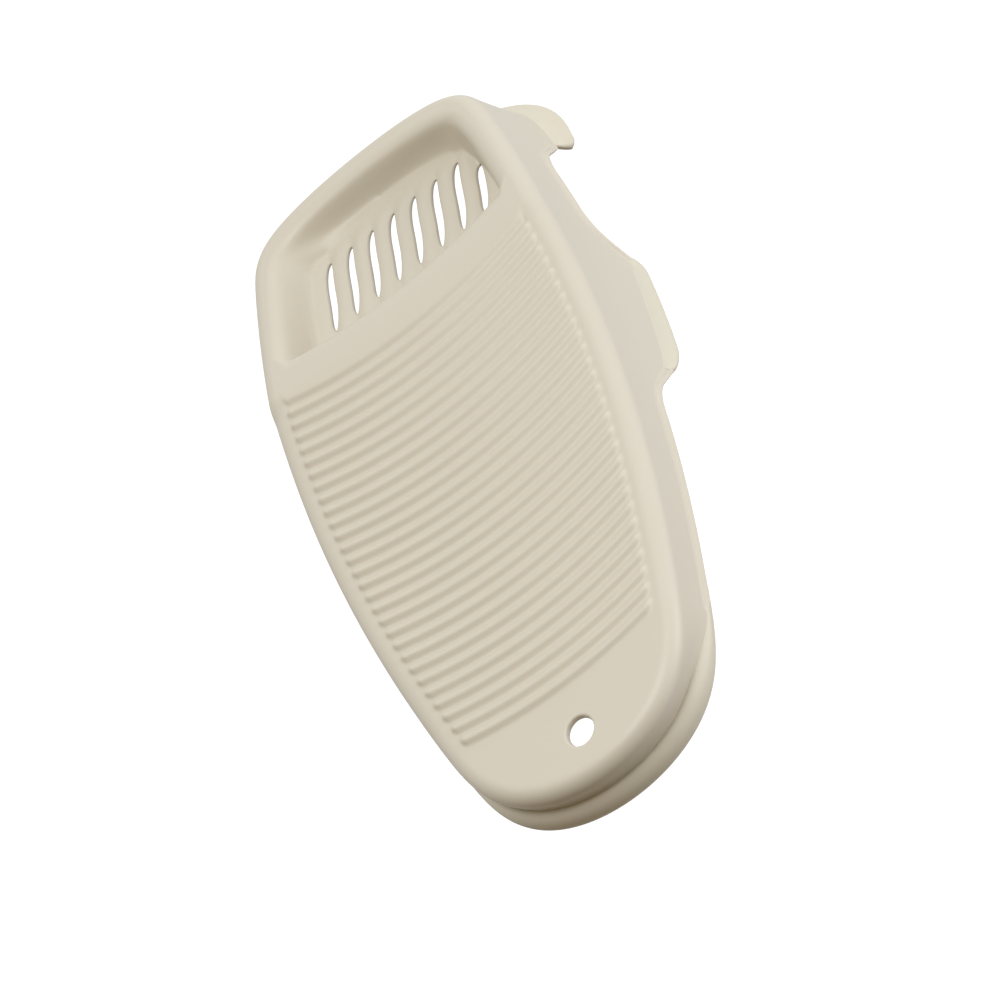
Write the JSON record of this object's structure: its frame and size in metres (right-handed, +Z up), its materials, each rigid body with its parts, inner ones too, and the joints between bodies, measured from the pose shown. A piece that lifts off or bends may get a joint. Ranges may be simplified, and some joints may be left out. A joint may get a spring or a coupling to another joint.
{
  "type": "washboard",
  "caption": "Hand washboard with curved wash ridges, a slotted soap tray, a hanging hole, side lugs and a hooked head end that catches a basin rim.",
  "frame": {"origin": "centre of the box at the surface the board stands on, between its foot band and its lugs", "axes": "+X to the right seen from the foot, +Y towards the head end with the soap tray, +Z up; the washing face is inclined about 7 degrees, head end high"},
  "size_m": [0.165, 0.37, 0.0542],
  "materials": {
    "moulding": "satin with a fine moulded grain, cream polypropylene",
    "soft_grip": "matte, a slightly yellower cream soft elastomer"
  },
  "bodies": {
    "root": {"wash_panel": "moulding", "head_frame": "moulding", "tray_wall": "moulding", "drain_grate": "moulding", "skirt_right": "moulding", "skirt_left": "moulding", "foot_wall": "moulding", "head_wall": "moulding", "foot_band": "soft_grip", "lug_grip_right": "soft_grip", "lug_grip_left": "soft_grip", "hook_grip": "soft_grip"}
  },
  "joints": []
}
